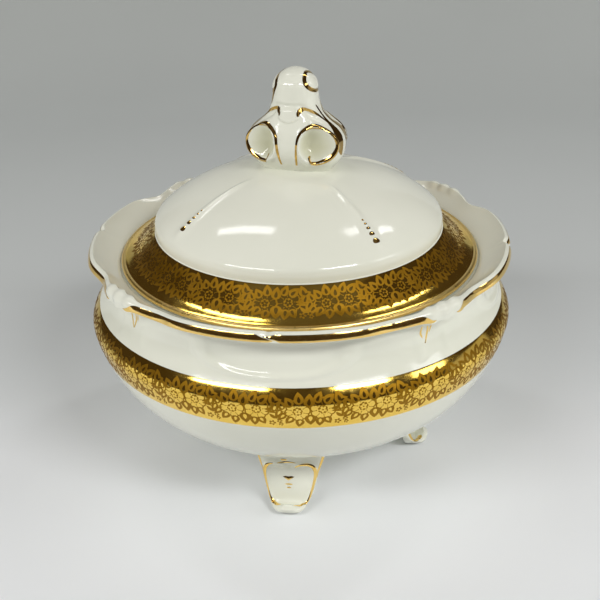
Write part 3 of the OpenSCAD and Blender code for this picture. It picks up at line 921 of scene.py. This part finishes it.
# Small gilt leaves on the outside of the neck, under each group of beads; the first group sits a little aside
LEAF_STROKES = (([(-1.8, -0.4), (-2.6, -3.2), (-1.6, -6.6), (-0.1, -9.2)], [0.7, 1.1, 1.0, 0.5]),
                ([(1.6, -1.0), (1.9, -3.4), (1.0, -6.4), (0.1, -9.0)], [0.8, 1.2, 1.0, 0.4]),
                ([(4.2, -0.6), (3.6, -2.8), (3.0, -4.6)], [0.5, 0.9, 0.3]))
LEAF_TOP = OUT_LEN[-1] - OUT_BELLY
leaves = []
for k, aside in enumerate((2.7, 0, 0, 0)):
    x0 = math.radians(JOIN_AT + QUARTER * k - aside) * BOWL_R
    for path, width in LEAF_STROKES:
        p = cat([(x0 + x, LEAF_TOP + y) for x, y in path], 8)
        leaves.append(ribbon(bowl_out, p, spread(width, len(p)), 0.05, 0.05, 4))
make("neck_gold_leaves", *join(leaves), LINE, "dish", "gilding")


# Studio, in metres: a pale sweep, strip lights, soft fills that nothing mirrors, a card, a ceiling and a dim room.
# All of it is turned with the camera.
AZIMUTH = math.radians(7.8)
FLOOR_X, BACK_X = (-2.4, 2.4), (-0.9, 0.8)
FLOOR_Y, BEND_Y, BEND_R, BACK_TOP = -1.6, 0.6, 0.9, 2.4
SWEEP_FROM, SWEEP_TO = -0.25, 1.2
# Painted light falloff of the sweep, from its front to its back
SWEEP_LIGHT_FALLOFF = [(0.0, (0.80, 0.82, 0.835)), (0.17, (0.845, 0.865, 0.88)), (0.23, (0.75, 0.78, 0.785)),
               (0.31, (0.585, 0.61, 0.606)), (0.58, (0.57, 0.6, 0.592)), (1.0, (0.515, 0.54, 0.518))]


def sweep_mat():
    """Pale grey with painted light falloff, lightest around the dish and darkening from there to the back."""
    m, nt, b = new_mat("pale_sweep")
    where, split, far = (nt.nodes.new("ShaderNode" + k) for k in ("TexCoord", "SeparateXYZ", "MapRange"))
    nt.links.new(where.outputs["Object"], split.inputs[0])
    nt.links.new(split.outputs["Y"], far.inputs["Value"])
    far.inputs["From Min"].default_value = SWEEP_FROM
    far.inputs["From Max"].default_value = SWEEP_TO
    pale = ramp(nt, far.outputs["Result"], SWEEP_LIGHT_FALLOFF)
    cloud = ramp(nt, noise(nt, 3, 3), [(0.35, grey(0.97)), (0.65, grey(1.0))])
    nt.links.new(multiply(nt, pale, cloud).outputs["Result"], b.inputs["Base Color"])
    b.inputs["Roughness"].default_value = 0.7
    return m


def sweep():
    """Wide floor that bends up into a narrower backdrop."""
    profile = [(FLOOR_Y, 0.0), (BEND_Y, 0.0)]
    profile += [(BEND_Y + BEND_R * math.sin(t), BEND_R - BEND_R * math.cos(t))
                for t in np.radians(np.arange(6, 91, 6))]
    profile.append((BEND_Y + BEND_R, BACK_TOP))
    verts = [(x, y, z) for y, z in profile for x in (BACK_X if z else FLOOR_X)]
    faces = [(2 * i, 2 * i + 1, 2 * i + 3, 2 * i + 2) for i in range(len(profile) - 1)]
    me = bpy.data.meshes.new("sweep")
    me.from_pydata(verts, [], faces)
    me.polygons.foreach_set("use_smooth", [True] * len(me.polygons))
    me.materials.append(sweep_mat())
    ob = bpy.data.objects.new("sweep", me)
    bpy.context.scene.collection.objects.link(ob)
    ob.rotation_euler = (0, 0, AZIMUTH)


def placed(x, y, z, at):
    """Matrix of an object from its axes and place, turned with the camera."""
    m = Matrix([[x[i], y[i], z[i], at[i]] for i in range(3)] + [[0, 0, 0, 1]])
    return Matrix.Rotation(AZIMUTH, 4, "Z") @ m


AIM = np.array((0, 0, 0.13))


def lamp(name, a, b, width, watts, mirrored=True):
    """Strip light between two points, given as right, toward the camera and up, turned to the dish."""
    a, b = (np.array((p[0], -p[1], p[2]), float) for p in (a, b))
    length, mid = float(np.linalg.norm(b - a)), (a + b) / 2
    x = (b - a) / length
    z = mid - AIM
    z = z - x * (z @ x)
    z /= np.linalg.norm(z)
    li = bpy.data.lights.new(name, "AREA")
    li.shape, li.size, li.size_y, li.energy = "RECTANGLE", length, width, watts
    ob = bpy.data.objects.new(name, li)
    ob.visible_glossy = mirrored
    bpy.context.scene.collection.objects.link(ob)
    ob.matrix_world = placed(x, np.cross(z, x), z, mid)


sweep()
lamp("top_left", (-0.77, -0.47, 1.25), (-0.21, -0.2, 1.25), 0.1, 1.5)
lamp("top_right", (0.40, -0.2, 1.25), (0.96, -0.59, 1.25), 0.1, 1.5)
lamp("front_left", (-1.45, 0.78, 1.15), (-0.42, 1.12, 1.15), 0.22, 9.5)
lamp("front_right", (0.40, 1.12, 1.15), (1.05, 0.95, 1.15), 0.22, 11.1)
lamp("side_right", (1.4, 0.78, 1.0), (2.0, 0.35, 1.0), 0.32, 3.0)
lamp("fill_left", (-1.7, 0.9, 0.5), (-1.7, -0.3, 0.5), 0.5, 11.0, False)
lamp("fill_right", (1.7, -0.3, 0.5), (1.7, 0.9, 0.5), 0.5, 9.4, False)
lamp("card_right", (1.7, -0.6, 0.32), (1.7, 0.4, 0.32), 0.55, 0.6)
lamp("ceiling", (-1.2, 0, 1.9), (1.2, 0, 1.9), 2.4, 0.9)

# A dim warm room, which the gilding mirrors
world = bpy.data.worlds.new("room")
bpy.context.scene.world = world
world.use_nodes = True
world.node_tree.nodes["Background"].inputs["Color"].default_value = (0.05, 0.036, 0.024, 1)

# Camera at the photograph's viewing angle
PITCH, YAW, ROLL = (math.radians(x) for x in (27.0, -0.04, -1.45))
CAMERA_AT = (0, -0.5013, 0.3453)
cam = bpy.data.cameras.new("camera")
cam.sensor_fit, cam.sensor_width, cam.lens = "HORIZONTAL", 36.0, 64.14
cam.clip_start = 0.01
camera = bpy.data.objects.new("camera", cam)
bpy.context.scene.collection.objects.link(camera)
forward = np.array([math.sin(YAW) * math.cos(PITCH), math.cos(YAW) * math.cos(PITCH), -math.sin(PITCH)])
level = np.array([math.cos(YAW), -math.sin(YAW), 0])
up = np.cross(level, forward)
camera.matrix_world = placed(level * math.cos(ROLL) + up * math.sin(ROLL),
                             up * math.cos(ROLL) - level * math.sin(ROLL), -forward, CAMERA_AT)
bpy.context.scene.camera = camera
bpy.context.scene.view_settings.view_transform = "Standard"
